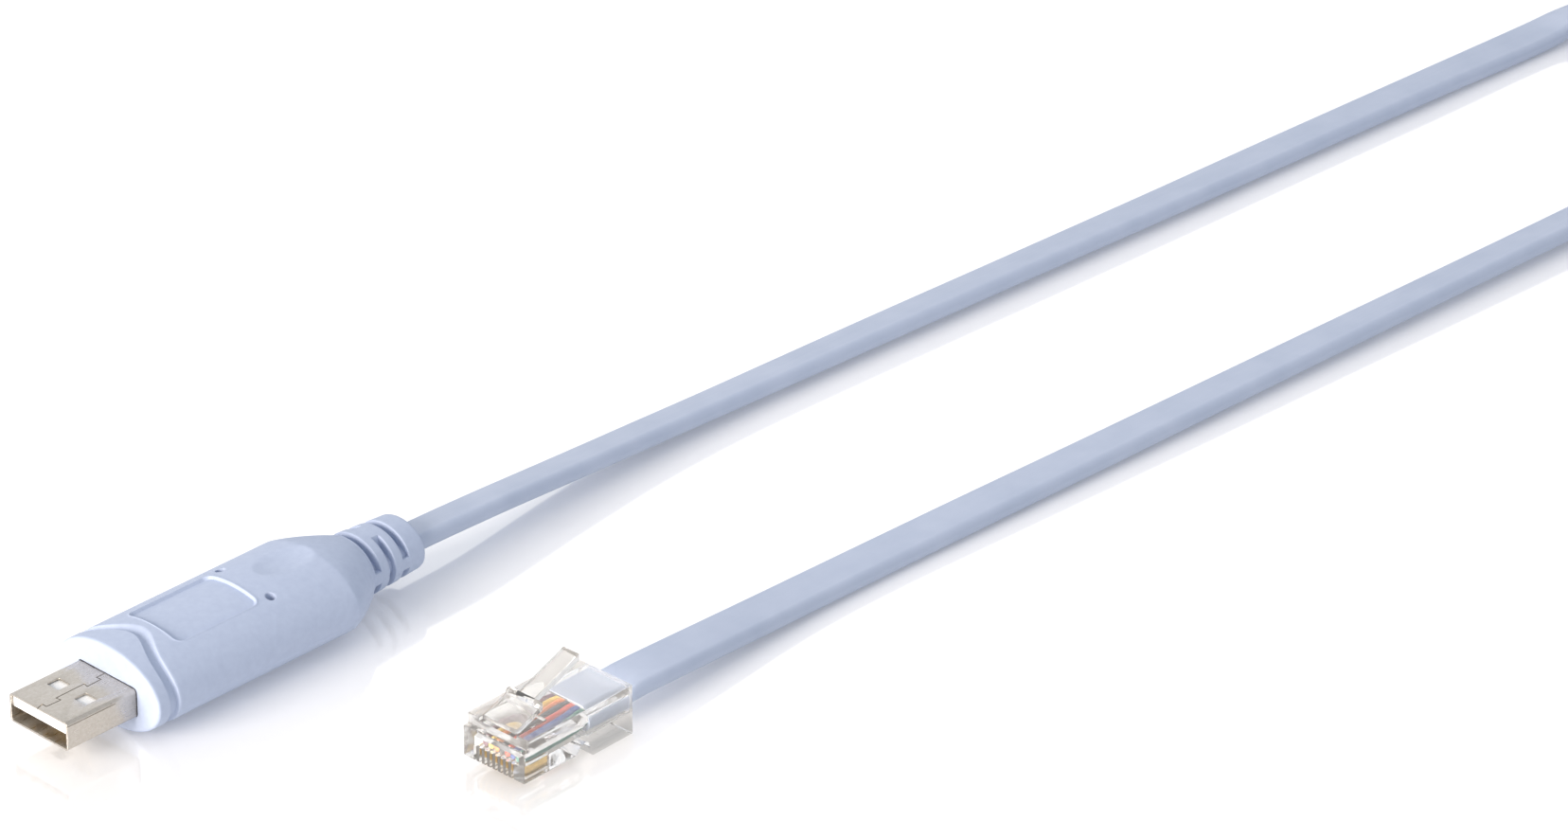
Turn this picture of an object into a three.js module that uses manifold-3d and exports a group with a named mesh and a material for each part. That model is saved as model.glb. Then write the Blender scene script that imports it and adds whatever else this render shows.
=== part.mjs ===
// USB to RJ45 console cable: a USB-A plug with a moulded converter housing, a flat eight-core lead
// and a clear modular plug with its latch raised.
// Millimetres, +Z up. The origin is on the floor under the middle of the USB plug and its housing.
// +X runs from the mouth of the USB plug towards the lead, and +Y is to the left of that.
import * as THREE from "three";
import { mergeGeometries, mergeVertices } from "three/addons/utils/BufferGeometryUtils.js";
import Module from "manifold-3d";

const wasm = await Module();
wasm.setup();

// Clearances between separate pieces
const touchGap = 0.3;
const plugFit = 0.2;
const bladeClearance = 0.12;
const cutOverrun = 1;

// USB-A shell, folded from sheet metal
const shellWidth = 12.0;
const shellHeight = 4.5;
const shellWall = 0.3;
const shellCornerRadius = 0.55;
const shellExposed = 12.6;
const shellEmbedded = 3.0;
const windowLength = 2.2;
const windowWidth = 2.5;
const windowSpacing = 5.7;
const windowSetback = 5.1;

// Insulator inside the shell, with four spring contacts under its tongue
const tongueThickness = 1.65;
const tongueSetback = 0.5;
const tongueBlockSetback = 8.6;
const usbContactWidth = 1.0;
const usbContactThickness = 0.25;
const usbContactLength = 6.6;
const usbContactSetback = 1.3;
const usbContactOffsets = [-3.5, -1.0, 1.0, 3.5];

// Converter housing: its section is a rounded oval, flattened a little where it rests. The shell and
// the lead lie a little below its middle.
const housingWidth = 21.4;
const housingHeight = 12.5;
const housingPower = 2.03;
const housingLength = 45.0;
const housingFrontFillet = 0.5;
const housingTaper = 7.4;
const housingTaperPower = 1.2;
const restDepth = 0.12;
const shellDrop = 0.5;
const leadDrop = 0.2;

// Groove around the front of the housing, which bulges back above and below
const grooveDepth = 0.8;
const grooveFrontAtSide = 2.1;
const grooveFrontAtTop = 4.9;
const grooveRearAtSide = 3.9;
const grooveRearAtTop = 7.2;
const grooveBulgeWidth = 4.8;

// Bare label recess, two sight holes and a thumb dimple on the top of the housing
const labelLength = 15.2;
const labelWidth = 10.8;
const labelCornerRadius = 1.2;
const labelDepth = 0.35;
const labelSetback = 8.5;
const sightHoleDiameter = 1.4;
const sightHoleSpacing = 10.4;
const sightHoleSetback = 25.9;
const sightHoleDepth = 1.6;
const dimpleLength = 10.4;
const dimpleWidth = 8.2;
const dimpleDepth = 0.35;
const dimpleSetback = 33.2;

// Ribbed strain relief, moulded in one piece with the housing
const reliefLength = 10.8;
const reliefRootWidth = 11.6;
const reliefRootHeight = 9.5;
const reliefEndWidth = 10.2;
const reliefEndHeight = 8.1;
const reliefEdgeRadius = 0.5;
const reliefSlotWidth = 1.25;
const reliefSlotPitch = 2.85;
const reliefFirstSlot = 1.1;
const reliefSideBridge = 1.8;
const reliefTopBridge = 3.4;
const reliefCoreWall = 0.65;
const reliefCorePower = 3;

// Flat lead
const ribbonWidth = 7.8;
const ribbonThickness = 2.5;
const ribbonCornerRadius = 1.0;

// Coil of the stored length, standing on the edges of the flat lead, and its tie
const coilPitch = 2.75;
const coilTurns = 4;
const coilOuterTurnRadius = 47.0;
const coilCentre = new THREE.Vector2(328.3, -54.0);
const coilSegments = 56;
const tieWidth = 8.0;
const tieThickness = 0.8;
const tieAngle = 150;

// Modular plug. Its own frame starts at its front end, with +X towards the lead.
const modularPosition = new THREE.Vector2(5.36, -48.75);
const modularTurn = 1.5;
const modularLength = 21.5;
const modularWidth = 11.68;
const modularTop = 7.9;
const noseFloor = 1.35;
const noseLength = 10.4;
const noseStepHeight = 6.2;
const noseStepBack = 0.9;
const notchHeight = 2.6;
const notchRamp = 0.9;
const rearBlockLength = 8.0;
const leadHeight = 4.1;
const jacketSetback = 12.4;

// Eight conductors and eight gold-plated blades
const conductorCount = 8;
const conductorPitch = 1.02;
const conductorSpacing = 0.12;
const conductorSetback = 1.6;
const bladeThickness = 0.3;
const bladeSetback = 0.7;
const bladeLength = 5.0;
const bladeRecess = 0.35;
const bladeNoseRadius = 0.6;

// Latch: a wide root with two shoulders, then a narrow thumb tab
const latchRootWidth = 6.5;
const latchTabWidth = 3.1;
const latchAngle = 20;
const latchRootSetback = 1.2;
const latchRootHeight = 1.2;
const latchRootLength = 0.8;
const latchShoulderSetback = 6.5;
const latchTipSetback = 15.5;
const latchThickness = 1.1;
const latchPocketDepth = 0.5;
const latchShoulderStep = 0.7;

// Places that follow from the sizes above
const plugLength = shellExposed + housingLength + reliefLength;
const shellFront = -plugLength / 2;
const housingFront = shellFront + shellExposed;
const housingRear = housingFront + housingLength;
const reliefEnd = housingRear + reliefLength;
const housingAxisHeight = housingHeight / 2 - restDepth;
const shellAxisHeight = housingAxisHeight - shellDrop;
const leadAxisHeight = housingAxisHeight - leadDrop;
const conductorDiameter = conductorPitch - conductorSpacing;

// Route of the lead from the strain relief to the coil: along the plug's axis, then down to the
// floor. Each point is [x, y, height, roll]. A roll turns the right edge of the lead up when it is
// below zero, and the lead stands on its edge at -90 degrees.
const reliefToCoil = [
  [reliefEnd + touchGap, 0.0, leadAxisHeight, -15],
  [40.7, 0.00, 5.85, -15],
  [47.7, 0.07, 5.60, -15],
  [55.5, 0.48, 5.00, -15],
  [65.2, 1.03, 4.15, -15],
  [75.0, 1.48, 3.40, -15],
  [84.7, 1.83, 2.75, -15],
  [99.5, 1.80, 2.15, -15],
  [114.3, 1.35, 1.95, -14],
  [134.3, 0.45, 1.90, -13],
  [164.3, -1.05, 1.82, -12],
  [194.3, -2.55, 1.75, -10],
  [224.3, -3.85, 1.67, -8],
  [254.3, -5.25, 1.60, -7],
  [284.3, -6.65, 1.55, -6],
  [288.5, -6.80, 2.00, -14],
  [294.0, -6.95, 2.95, -35],
  [302.0, -7.05, 3.85, -65],
  [312.5, -6.80, 3.95, -90],
];

// Route from inside the modular plug along the floor, round a bend and up over the coil's turns
const modularToCoil = [
  [32.3, -47.95, 4.00, 0],
  [39.3, -47.65, 3.60, 0],
  [49.3, -47.15, 2.90, -1],
  [59.3, -46.65, 2.20, -2],
  [69.3, -46.35, 1.70, -3],
  [84.3, -46.55, 1.45, -4],
  [104.3, -47.35, 1.52, -5],
  [129.3, -48.45, 1.60, -7],
  [154.3, -49.45, 1.70, -9],
  [179.3, -50.45, 1.80, -11],
  [204.3, -51.45, 1.87, -13],
  [226.3, -52.35, 1.95, -14],
  [236.5, -52.75, 2.00, -14],
  [245.7, -53.25, 2.20, -12],
  [255.2, -55.55, 3.00, -9],
  [264.3, -60.15, 4.80, -6],
  [272.5, -66.60, 7.20, -3],
  [281.1, -75.20, 9.25, 0],
  [290.0, -86.10, 9.45, 0],
  [301.1, -92.90, 9.45, 0],
  [312.9, -96.30, 9.45, 0],
  [324.6, -96.30, 9.45, 0],
];

const radians = THREE.MathUtils.degToRad;

function material(color, roughness, metalness, opacity = 1) {
  return new THREE.MeshStandardMaterial({
    color,
    roughness,
    metalness,
    opacity,
    transparent: opacity < 1,
  });
}

const finishes = {
  shell: material("#b9b6b0", 0.35, 1.0),
  gold: material("#d9b45a", 0.3, 1.0),
  insulator: material("#eceef0", 0.45, 0.0),
  housing: material("#b4c2d8", 0.55, 0.0),
  lead: material("#b9c5da", 0.5, 0.0),
  clear: material("#e6e8ea", 0.1, 0.0, 0.4),
  tie: material("#2b2d31", 0.8, 0.0),
};

const conductorColours = [
  "#12605a", "#27408b", "#c6382b", "#23252b", "#d9772c", "#d8b63f", "#6b4456", "#c9cbd0",
];

// Only the positions are kept, with shared corners merged, so that the surface is closed
function weld(geometry) {
  const bare = geometry.index ? geometry.toNonIndexed() : geometry.clone();
  bare.deleteAttribute("normal");
  bare.deleteAttribute("uv");
  return mergeVertices(bare, 1e-5);
}

function toSolid(geometry) {
  const welded = weld(geometry);
  const vertProperties = new Float32Array(welded.attributes.position.array);
  const triVerts = new Uint32Array(welded.index.array);
  return new wasm.Manifold(new wasm.Mesh({ numProp: 3, vertProperties, triVerts }));
}

function toGeometry(solid) {
  const { numProp, vertProperties, triVerts } = solid.getMesh();
  const positions = new Float32Array((vertProperties.length / numProp) * 3);
  for (let i = 0; i < positions.length / 3; i += 1) {
    for (let k = 0; k < 3; k += 1) positions[3 * i + k] = vertProperties[numProp * i + k];
  }
  const geometry = new THREE.BufferGeometry();
  geometry.setAttribute("position", new THREE.BufferAttribute(positions, 3));
  geometry.setIndex(new THREE.BufferAttribute(new Uint32Array(triVerts), 1));
  geometry.computeVertexNormals();
  return geometry;
}

function piece(name, geometry, finish) {
  const mesh = new THREE.Mesh(geometry, finish);
  mesh.name = name;
  return mesh;
}

// A box given by its lowest and highest corners
function box(low, high) {
  const size = high.map((value, axis) => value - low[axis]);
  const geometry = new THREE.BoxGeometry(...size);
  geometry.translate(...low.map((value, axis) => value + size[axis] / 2));
  return geometry;
}

function roundedRectangle(width, height, radius) {
  const x = width / 2;
  const y = height / 2;
  const shape = new THREE.Shape();
  shape.moveTo(-x + radius, -y);
  shape.lineTo(x - radius, -y);
  shape.absarc(x - radius, -y + radius, radius, -Math.PI / 2, 0);
  shape.lineTo(x, y - radius);
  shape.absarc(x - radius, y - radius, radius, 0, Math.PI / 2);
  shape.lineTo(-x + radius, y);
  shape.absarc(-x + radius, y - radius, radius, Math.PI / 2, Math.PI);
  shape.lineTo(-x, -y + radius);
  shape.absarc(-x + radius, -y + radius, radius, Math.PI, Math.PI * 1.5);
  return shape;
}

// A shape drawn across the plug, with its first axis along Y, made into a bar along X
function barAlongX(shape, start, end, curveSegments = 3) {
  const geometry = new THREE.ExtrudeGeometry(shape, {
    depth: end - start,
    bevelEnabled: false,
    curveSegments,
  });
  geometry.rotateX(Math.PI / 2);
  geometry.rotateZ(Math.PI / 2);
  geometry.translate(start, 0, 0);
  return geometry;
}

// A shape drawn in plan, made into a prism between two heights
function prismAlongZ(shape, low, high, curveSegments = 6) {
  const geometry = new THREE.ExtrudeGeometry(shape, {
    depth: high - low,
    bevelEnabled: false,
    curveSegments,
  });
  geometry.translate(0, 0, low);
  return geometry;
}

// A side profile of [x, z] points, made into a prism centred on Y = 0
function prismAcrossY(profile, width) {
  const shape = new THREE.Shape(profile.map(([x, z]) => new THREE.Vector2(x, z)));
  const geometry = new THREE.ExtrudeGeometry(shape, { depth: width, bevelEnabled: false });
  geometry.rotateX(Math.PI / 2);
  geometry.translate(0, width / 2, 0);
  return geometry;
}

// A closed body of oval sections along X: each station is { x, width, height }
function ovalLoft(stations, power, sides = 48) {
  const positions = [];
  const indices = [];
  const exponent = 2 / power;
  const signedPower = (value) => Math.sign(value) * Math.abs(value) ** exponent;
  for (const { x, width, height } of stations) {
    for (let i = 0; i < sides; i += 1) {
      const angle = (2 * Math.PI * i) / sides;
      const across = (width / 2) * signedPower(Math.cos(angle));
      const up = (height / 2) * signedPower(Math.sin(angle));
      positions.push(x, across, up);
    }
  }
  const ring = (station, side) => station * sides + (side % sides);
  for (let s = 0; s + 1 < stations.length; s += 1) {
    for (let i = 0; i < sides; i += 1) {
      indices.push(ring(s, i), ring(s, i + 1), ring(s + 1, i + 1));
      indices.push(ring(s, i), ring(s + 1, i + 1), ring(s + 1, i));
    }
  }
  const last = stations.length - 1;
  const frontCentre = positions.length / 3;
  positions.push(stations[0].x, 0, 0);
  positions.push(stations[last].x, 0, 0);
  for (let i = 0; i < sides; i += 1) {
    indices.push(frontCentre, ring(0, i + 1), ring(0, i));
    indices.push(frontCentre + 1, ring(last, i), ring(last, i + 1));
  }
  const geometry = new THREE.BufferGeometry();
  geometry.setAttribute("position", new THREE.Float32BufferAttribute(positions, 3));
  geometry.setIndex(indices);
  return geometry;
}

// The quarter round of a fillet, as steps from its start to its full size
function filletSteps(radius, count = 4) {
  return Array.from({ length: count + 1 }, (_, i) => {
    const angle = (Math.PI / 2) * (i / count);
    return { along: radius * (1 - Math.cos(angle)), inset: radius * (1 - Math.sin(angle)) };
  });
}

// What lies under the floor, taken from the housing so that it rests on a flat
function underFloor() {
  const reach = plugLength + housingWidth;
  return toSolid(box([-reach, -reach, -reach], [reach, reach, 0]));
}

function makeShell() {
  const outline = roundedRectangle(shellWidth, shellHeight, shellCornerRadius);
  outline.holes.push(
    roundedRectangle(shellWidth - 2 * shellWall, shellHeight - 2 * shellWall, shellCornerRadius - shellWall),
  );
  let shell = toSolid(barAlongX(outline, shellFront, housingFront + shellEmbedded));
  const windowFront = shellFront + windowSetback;
  for (const side of [-1, 1]) {
    const centre = (side * windowSpacing) / 2;
    const reach = shellHeight / 2 + cutOverrun;
    shell = shell.subtract(toSolid(box(
      [windowFront, centre - windowWidth / 2, -reach],
      [windowFront + windowLength, centre + windowWidth / 2, reach],
    )));
  }
  return piece("usb_shell", toGeometry(shell), finishes.shell);
}

const tongueTop = shellHeight / 2 - shellWall - plugFit;

function makeTongue() {
  const halfWidth = shellWidth / 2 - shellWall - plugFit;
  const rear = housingFront + shellEmbedded - plugFit;
  const tongue = toSolid(box(
    [shellFront + tongueSetback, -halfWidth, tongueTop - tongueThickness],
    [rear, halfWidth, tongueTop],
  ));
  const block = toSolid(box(
    [shellFront + tongueBlockSetback, -halfWidth, -tongueTop],
    [rear, halfWidth, tongueTop],
  ));
  return piece("usb_tongue", toGeometry(tongue.add(block)), finishes.insulator);
}

function makeUsbContacts() {
  const top = tongueTop - tongueThickness - plugFit;
  const start = shellFront + usbContactSetback;
  return usbContactOffsets.map((y, index) => {
    const strip = box(
      [start, y - usbContactWidth / 2, top - usbContactThickness],
      [start + usbContactLength, y + usbContactWidth / 2, top],
    );
    return piece(`usb_contact_${index + 1}`, strip, finishes.gold);
  });
}

// Sections of the housing, shrunk by inset all round
function housingStations(inset) {
  const width = housingWidth - 2 * inset;
  const height = housingHeight - 2 * inset;
  const stations = filletSteps(housingFrontFillet).map((step) => ({
    x: housingFront + step.along,
    width: width - 2 * step.inset,
    height: height - 2 * step.inset,
  }));
  const taperStart = housingRear - housingTaper;
  const steps = 10;
  for (let i = 0; i <= steps; i += 1) {
    const angle = (Math.PI / 2) * (i / steps);
    const swell = Math.max(0, Math.cos(angle)) ** (2 / housingTaperPower);
    stations.push({
      x: taperStart + housingTaper * Math.sin(angle) ** (2 / housingTaperPower),
      width: reliefRootWidth + (width - reliefRootWidth) * swell,
      height: reliefRootHeight + (height - reliefRootHeight) * swell,
    });
  }
  return stations;
}

function reliefStations() {
  const root = { width: reliefRootWidth, height: reliefRootHeight };
  const stations = [{ x: housingRear - housingTaper / 2, ...root }, { x: housingRear, ...root }];
  for (const { along, inset } of filletSteps(reliefEdgeRadius, 3).reverse()) {
    stations.push({
      x: reliefEnd - along,
      width: reliefEndWidth - 2 * inset,
      height: reliefEndHeight - 2 * inset,
    });
  }
  return stations;
}

// How far back the groove lies at a distance across from the plug's axis
function grooveEdge(atSide, atTop, across) {
  return atSide + (atTop - atSide) * Math.exp(-((across / grooveBulgeWidth) ** 2));
}

function makeGrooveCutter() {
  const reach = housingWidth / 2 + cutOverrun;
  const steps = 24;
  const across = Array.from({ length: steps + 1 }, (_, i) => -reach + (2 * reach * i) / steps);
  const edge = (atSide, atTop) => across.map((y) => (
    new THREE.Vector2(housingFront + grooveEdge(atSide, atTop, y), y)
  ));
  const front = edge(grooveFrontAtSide, grooveFrontAtTop);
  const rear = edge(grooveRearAtSide, grooveRearAtTop).reverse();
  const band = prismAlongZ(new THREE.Shape([...front, ...rear]), -housingHeight, housingHeight);
  return toSolid(band).subtract(toSolid(ovalLoft(housingStations(grooveDepth), housingPower)));
}

function makeLabelCutter() {
  const plan = prismAlongZ(roundedRectangle(labelLength, labelWidth, labelCornerRadius), 0, housingHeight);
  plan.translate(housingFront + labelSetback + labelLength / 2, 0, 0);
  return toSolid(plan).subtract(toSolid(ovalLoft(housingStations(labelDepth), housingPower)));
}

// Height of the housing's top above its axis, at a distance across
function housingRise(across) {
  const share = Math.min(1, Math.abs(across) / (housingWidth / 2));
  return (housingHeight / 2) * (1 - share ** housingPower) ** (1 / housingPower);
}

function makeSightHoleCutters() {
  return [-1, 1].map((side) => {
    const across = (side * sightHoleSpacing) / 2;
    const bottom = housingRise(across) - sightHoleDepth;
    const height = sightHoleDepth + cutOverrun;
    const drill = new THREE.CylinderGeometry(sightHoleDiameter / 2, sightHoleDiameter / 2, height, 16);
    drill.rotateX(Math.PI / 2);
    drill.translate(housingFront + sightHoleSetback, across, bottom + height / 2);
    return toSolid(drill);
  });
}

function makeDimpleCutter() {
  // A flat ellipsoid, sunk so that it cuts the wanted oval out of the top
  const rise = 4 * dimpleDepth;
  const cutShare = Math.sqrt(1 - ((rise - dimpleDepth) / rise) ** 2);
  const ball = new THREE.SphereGeometry(1, 28, 16);
  ball.scale(dimpleLength / 2 / cutShare, dimpleWidth / 2 / cutShare, rise);
  ball.translate(housingFront + dimpleSetback, 0, housingHeight / 2 + rise - dimpleDepth);
  return toSolid(ball);
}

// The slots of the strain relief: above and below in the first and third rows, at the sides between
function makeReliefSlots() {
  const reach = housingWidth / 2;
  const slots = [];
  for (let row = 0; row < 3; row += 1) {
    const start = housingRear + reliefFirstSlot + row * reliefSlotPitch - reliefSlotWidth / 2;
    const end = start + reliefSlotWidth;
    for (const side of [-1, 1]) {
      const near = row % 2 === 0 ? reliefSideBridge / 2 : reliefTopBridge / 2;
      const span = [Math.min(side * near, side * reach), Math.max(side * near, side * reach)];
      const across = row % 2 === 0 ? [-reach, reach] : span;
      const upright = row % 2 === 0 ? span : [-reach, reach];
      slots.push(box([start, across[0], upright[0]], [end, across[1], upright[1]]));
    }
  }
  const coreSize = {
    width: ribbonWidth + 2 * reliefCoreWall,
    height: ribbonThickness + 2 * reliefCoreWall,
  };
  const core = ovalLoft([{ x: housingFront, ...coreSize }, { x: reliefEnd, ...coreSize }], reliefCorePower);
  return toSolid(mergeGeometries(slots)).subtract(toSolid(core));
}

function makeOvermould() {
  const mouth = roundedRectangle(
    shellWidth + 2 * plugFit,
    shellHeight + 2 * plugFit,
    shellCornerRadius + plugFit,
  );
  const pocket = toSolid(barAlongX(
    mouth,
    housingFront - cutOverrun,
    housingFront + shellEmbedded + plugFit,
  )).translate([0, 0, -shellDrop]);
  let housing = toSolid(ovalLoft(housingStations(0), housingPower));
  const cutters = [makeGrooveCutter(), makeLabelCutter(), ...makeSightHoleCutters(), makeDimpleCutter()];
  for (const cutter of cutters) housing = housing.subtract(cutter);
  const relief = toSolid(ovalLoft(reliefStations(), housingPower)).subtract(makeReliefSlots());
  const overmould = housing
    .add(relief)
    .subtract(pocket)
    .translate([0, 0, housingAxisHeight])
    .subtract(underFloor());
  return piece("overmould", toGeometry(overmould), finishes.housing);
}

// The section of the flat lead, with its thickness first, for an extrusion along a path
function ribbonSection() {
  return roundedRectangle(ribbonThickness, ribbonWidth, ribbonCornerRadius);
}

// A path that keeps the flat lead level, apart from the roll at each of its points
class RibbonPath extends THREE.CatmullRomCurve3 {
  constructor(points) {
    super(points.map(([x, y, z]) => new THREE.Vector3(x, y, z)), false, "centripetal");
    this.rolls = points.map((point) => radians(point[3]));
  }

  rollAt(share) {
    const place = this.getUtoTmapping(share) * (this.rolls.length - 1);
    const index = Math.min(Math.floor(place), this.rolls.length - 2);
    return THREE.MathUtils.lerp(this.rolls[index], this.rolls[index + 1], place - index);
  }

  computeFrenetFrames(segments) {
    const frames = { tangents: [], normals: [], binormals: [] };
    const upright = new THREE.Vector3(0, 0, 1);
    for (let i = 0; i <= segments; i += 1) {
      const share = i / segments;
      const tangent = this.getTangentAt(share);
      const left = new THREE.Vector3().crossVectors(upright, tangent).normalize();
      const normal = new THREE.Vector3().crossVectors(tangent, left);
      normal.applyAxisAngle(tangent, this.rollAt(share));
      frames.tangents.push(tangent);
      frames.normals.push(normal);
      frames.binormals.push(new THREE.Vector3().crossVectors(tangent, normal));
    }
    return frames;
  }
}

function ribbonTube(name, points, steps) {
  const geometry = new THREE.ExtrudeGeometry(ribbonSection(), {
    extrudePath: new RibbonPath(points),
    steps,
    curveSegments: 2,
    bevelEnabled: false,
  });
  return piece(name, geometry, finishes.lead);
}

const coilOuter = coilOuterTurnRadius + ribbonThickness / 2;
const coilInner = coilOuterTurnRadius - coilTurns * coilPitch - ribbonThickness / 2;

// Turned and moved from the origin to the tie's place on the coil
function atTie(geometry) {
  geometry.rotateZ(radians(tieAngle));
  geometry.translate(coilCentre.x, coilCentre.y, 0);
  return geometry;
}

function makeCoil() {
  const profile = [
    new THREE.Vector2(coilInner, 0),
    new THREE.Vector2(coilOuter, 0),
    new THREE.Vector2(coilOuter, ribbonWidth),
    new THREE.Vector2(coilInner, ribbonWidth),
    new THREE.Vector2(coilInner, 0),
  ];
  const ring = new THREE.LatheGeometry(profile, coilSegments);
  ring.rotateX(Math.PI / 2);
  ring.translate(coilCentre.x, coilCentre.y, 0);
  // The tie passes under the turns, which lie on it
  const notch = atTie(box(
    [coilInner - cutOverrun, -tieWidth / 2 - touchGap, -cutOverrun],
    [coilOuter + cutOverrun, tieWidth / 2 + touchGap, tieThickness + touchGap],
  ));
  return piece("cord_coil", toGeometry(toSolid(ring).subtract(toSolid(notch))), finishes.lead);
}

function makeTie() {
  const outer = toSolid(atTie(box(
    [coilInner - touchGap - tieThickness, -tieWidth / 2, 0],
    [coilOuter + touchGap + tieThickness, tieWidth / 2, ribbonWidth + touchGap + tieThickness],
  )));
  const inner = toSolid(atTie(box(
    [coilInner - touchGap, -tieWidth, tieThickness],
    [coilOuter + touchGap, tieWidth, ribbonWidth + touchGap],
  )));
  return piece("coil_tie", toGeometry(outer.subtract(inner)), finishes.tie);
}

// Where each conductor and blade lies across the modular plug
function conductorAcross(index) {
  return (index - (conductorCount - 1) / 2) * conductorPitch;
}

const bladeTop = leadHeight - conductorDiameter / 2 - plugFit;

function makeModularBody() {
  const blockFront = modularLength - rearBlockLength;
  const profile = [
    [0, noseFloor],
    [noseLength, noseFloor],
    [noseLength + notchRamp, notchHeight],
    [blockFront - notchRamp, notchHeight],
    [blockFront, 0],
    [modularLength, 0],
    [modularLength, modularTop],
    [noseStepBack, modularTop],
    [noseStepBack, noseStepHeight],
    [0, noseStepHeight],
  ];
  let body = toSolid(prismAcrossY(profile, modularWidth));
  const jacketRoom = toSolid(box(
    [jacketSetback - touchGap, -ribbonWidth / 2 - touchGap, leadHeight - ribbonThickness / 2 - touchGap],
    [modularLength + cutOverrun, ribbonWidth / 2 + touchGap, leadHeight + ribbonThickness / 2 + touchGap],
  ));
  const wireHalf = (conductorCount * conductorPitch) / 2 + plugFit;
  const wireRoom = toSolid(box(
    [conductorSetback - touchGap, -wireHalf, leadHeight - conductorDiameter / 2 - plugFit],
    [jacketSetback, wireHalf, leadHeight + conductorDiameter / 2 + plugFit],
  ));
  const latchPocket = toSolid(box(
    [noseStepBack - cutOverrun, -latchRootWidth / 2 - touchGap, modularTop - latchPocketDepth],
    [latchShoulderSetback + touchGap, latchRootWidth / 2 + touchGap, modularTop + cutOverrun],
  ));
  body = body.subtract(jacketRoom).subtract(wireRoom).subtract(latchPocket);
  for (let i = 0; i < conductorCount; i += 1) {
    const y = conductorAcross(i);
    const half = bladeThickness / 2 + bladeClearance;
    body = body.subtract(toSolid(box(
      [-cutOverrun, y - half, -cutOverrun],
      [bladeSetback + bladeLength + bladeClearance, y + half, leadHeight],
    )));
  }
  return piece("rj45_body", toGeometry(body), finishes.clear);
}

function makeLatch() {
  const bottom = modularTop - latchPocketDepth + touchGap;
  const rootEnd = latchRootSetback + latchRootLength;
  const slope = Math.tan(radians(latchAngle));
  const rise = (x) => bottom + (x - rootEnd) * slope;
  const topAt = (x) => bottom + latchRootHeight + (x - latchRootSetback) * slope;
  const wide = toSolid(prismAcrossY([
    [latchRootSetback, bottom],
    [rootEnd, bottom],
    [latchShoulderSetback, rise(latchShoulderSetback)],
    [latchShoulderSetback, topAt(latchShoulderSetback)],
    [latchRootSetback, topAt(latchRootSetback)],
  ], latchRootWidth));
  const tabStart = latchShoulderSetback - latchShoulderStep;
  const tab = toSolid(prismAcrossY([
    [tabStart, rise(tabStart)],
    [latchTipSetback, rise(latchTipSetback)],
    [latchTipSetback, rise(latchTipSetback) + latchThickness],
    [tabStart, rise(tabStart) + latchThickness],
  ], latchTabWidth));
  return piece("rj45_latch", toGeometry(wide.add(tab)), finishes.clear);
}

function makeBlades() {
  const bottom = noseFloor + bladeRecess;
  const profile = [
    [bladeSetback, bottom + bladeNoseRadius],
    [bladeSetback + bladeNoseRadius, bottom],
    [bladeSetback + bladeLength, bottom],
    [bladeSetback + bladeLength, bladeTop],
    [bladeSetback, bladeTop],
  ];
  return Array.from({ length: conductorCount }, (_, i) => {
    const blade = prismAcrossY(profile, bladeThickness);
    blade.translate(0, conductorAcross(i), 0);
    return piece(`rj45_contact_${i + 1}`, blade, finishes.gold);
  });
}

function makeConductors() {
  const length = jacketSetback - touchGap - conductorSetback;
  return conductorColours.map((colour, i) => {
    const wire = new THREE.CylinderGeometry(conductorDiameter / 2, conductorDiameter / 2, length, 10);
    wire.rotateZ(Math.PI / 2);
    wire.translate(conductorSetback + length / 2, conductorAcross(i), leadHeight);
    return piece(`conductor_${i + 1}`, wire, material(colour, 0.4, 0));
  });
}

const cable = new THREE.Group();

const usbInsert = new THREE.Group();
usbInsert.position.z = shellAxisHeight;
usbInsert.add(makeShell(), makeTongue(), ...makeUsbContacts());
cable.add(usbInsert, makeOvermould());

const modularPlug = new THREE.Group();
modularPlug.position.set(modularPosition.x, modularPosition.y, 0);
modularPlug.rotation.z = radians(modularTurn);
modularPlug.add(makeModularBody(), makeLatch(), ...makeBlades(), ...makeConductors());
cable.add(modularPlug);

// The lead's stretch inside the modular plug follows the plug's own place and turn, with no roll
const insidePlug = [jacketSetback, (jacketSetback + modularLength) / 2, modularLength].map((along) => [
  modularPosition.x + along * Math.cos(radians(modularTurn)),
  modularPosition.y + along * Math.sin(radians(modularTurn)),
  leadHeight,
  0,
]);
cable.add(ribbonTube("cord_usb_run", reliefToCoil, 30));
cable.add(ribbonTube("cord_rj45_run", [...insidePlug, ...modularToCoil], 32));
cable.add(makeCoil(), makeTie());

export default cable;
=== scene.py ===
"""USB to RJ45 console cable: a moulded converter housing, a flat lead and a clear modular plug.

Lengths are in millimetres until the last step, where each mesh is scaled to metres.
"""

import math

import bmesh
import bpy
from mathutils import Matrix, Vector


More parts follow.
